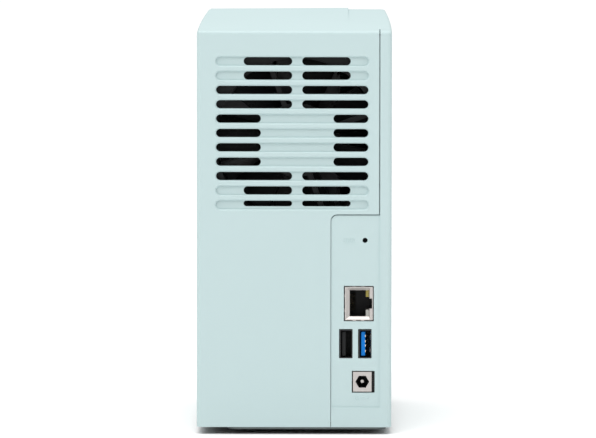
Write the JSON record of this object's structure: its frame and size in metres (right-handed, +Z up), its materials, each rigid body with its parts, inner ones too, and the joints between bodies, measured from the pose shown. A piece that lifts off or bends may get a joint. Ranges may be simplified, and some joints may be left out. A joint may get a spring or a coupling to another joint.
{
  "type": "network storage enclosure",
  "caption": "Upright network storage enclosure with a lift-off cover, a slotted fan grille, rear sockets and lifting drive trays.",
  "frame": {"origin": "on the ground, under the middle of the case's bounding box", "axes": "+Z up, -Y the front with the buttons, +Y the rear with the sockets, +X the cover's side"},
  "size_m": [0.0902, 0.1562, 0.188],
  "materials": {
    "shell": "fine spark texture, pale aqua",
    "base": "dark grey, fine texture",
    "rubber": "matt",
    "cage": "black powder coat",
    "tray": "black, satin",
    "fan": "black, glass-filled",
    "screw": "zinc plated",
    "black_screw": "black oxide",
    "shaft": "ground",
    "bearing": "sintered bronze",
    "board": "green solder mask",
    "chip": "moulded epoxy",
    "nickel": "nickel plated sheet",
    "gold": "gold plated",
    "connector_black": "glass-filled nylon",
    "connector_white": "nylon",
    "tongue_blue": "moulded blue",
    "lens_amber": "translucent amber",
    "lens_clear": "translucent clear",
    "guide": "milky clear",
    "sink": "clear anodised",
    "can": null,
    "cell": "stainless",
    "button": "fine texture, pale aqua",
    "lead": "black sleeving"
  },
  "bodies": {
    "chassis": {"side_shell": "shell", "base_plate": "base", "rubber_feet": "rubber", "base_screws": "black_screw", "drive_cage": "cage", "backplane_board": "board", "backplane_posts": "screw", "fan_frame": "fan", "fan_bearing": "bearing", "fan_screws": "black_screw", "fan_lead": "lead", "fan_plug": "connector_white", "fan_header": "connector_white", "main_board": "board", "board_screws": "screw", "processor": "chip", "heat_sink": "sink", "memory_chips": "chip", "small_chips": "chip", "capacitors": "can", "coin_cell": "cell", "coin_cell_holder": "connector_black", "buzzer": "connector_black", "link_socket": "connector_black", "lan_shell": "nickel", "lan_insert": "connector_black", "lan_contacts": "gold", "lan_lens_upper": "lens_amber", "lan_lens_lower": "lens_clear", "usb_housing": "connector_black", "usb2_shell": "nickel", "usb2_tongue": "connector_black", "usb2_contacts": "gold", "usb3_shell": "nickel", "usb3_tongue": "tongue_blue", "usb3_contacts": "gold", "front_usb_shell": "nickel", "front_usb_tongue": "tongue_blue", "front_usb_contacts": "gold", "dc_body": "connector_black", "dc_face": "nickel", "dc_pin": "nickel", "reset_switch": "connector_black", "button_switches": "connector_black", "status_lenses": "guide", "status_lights": "connector_white", "sata_connector_1": "connector_black", "sata_connector_2": "connector_black"},
    "cover": {"cover_shell": "shell"},
    "tray_1": {"tray_1": "tray", "handle_pin_1": "shaft"},
    "tray_2": {"tray_2": "tray", "handle_pin_2": "shaft"},
    "handle_1": {"tray_handle_1": "tray"},
    "handle_2": {"tray_handle_2": "tray"},
    "fan": {"fan_rotor": "fan", "fan_shaft": "shaft"},
    "power_button": {"power_button": "button"},
    "copy_button": {"copy_button": "button"},
    "reset_plunger": {"reset_plunger": "connector_black"}
  },
  "joints": [
    {"name": "cover_lift", "type": "slide", "parent": "chassis", "child": "cover", "axis": [0, 0, 1], "range_m": [0, 0.2]},
    {"name": "fan_spin", "type": "hinge", "parent": "chassis", "child": "fan", "pos_m": [-0.0013, 0.0497, 0.13667], "axis": [0, 1, 0], "continuous": true},
    {"name": "power_press", "type": "slide", "parent": "chassis", "child": "power_button", "axis": [0, 1, 0], "range_m": [0, 0.0008], "stiffness_N_per_m": 2500},
    {"name": "copy_press", "type": "slide", "parent": "chassis", "child": "copy_button", "axis": [0, 1, 0], "range_m": [0, 0.0008], "stiffness_N_per_m": 2500},
    {"name": "reset_press", "type": "slide", "parent": "chassis", "child": "reset_plunger", "axis": [0, -1, 0], "range_m": [0, 0.0004], "stiffness_N_per_m": 3000},
    {"name": "tray_slide_1", "type": "slide", "parent": "chassis", "child": "tray_1", "axis": [0, 0, 1], "range_m": [0, 0.14]},
    {"name": "handle_turn_1", "type": "hinge", "parent": "tray_1", "child": "handle_1", "pos_m": [-0.00558, -0.0513, 0.1761], "axis": [1, 0, 0], "range_deg": [0, 75]},
    {"name": "tray_slide_2", "type": "slide", "parent": "chassis", "child": "tray_2", "axis": [0, 0, 1], "range_m": [0, 0.14]},
    {"name": "handle_turn_2", "type": "hinge", "parent": "tray_2", "child": "handle_2", "pos_m": [0.02412, -0.0513, 0.1761], "axis": [1, 0, 0], "range_deg": [0, 75]}
  ],
  "couplings": [
    {"joint": "tray_slide_1", "follows": "cover_lift", "ratio": 0.7},
    {"joint": "handle_turn_1", "follows": "cover_lift", "rad_per_m": 6.5},
    {"joint": "tray_slide_2", "follows": "cover_lift", "ratio": 0.7},
    {"joint": "handle_turn_2", "follows": "cover_lift", "rad_per_m": 6.5}
  ]
}
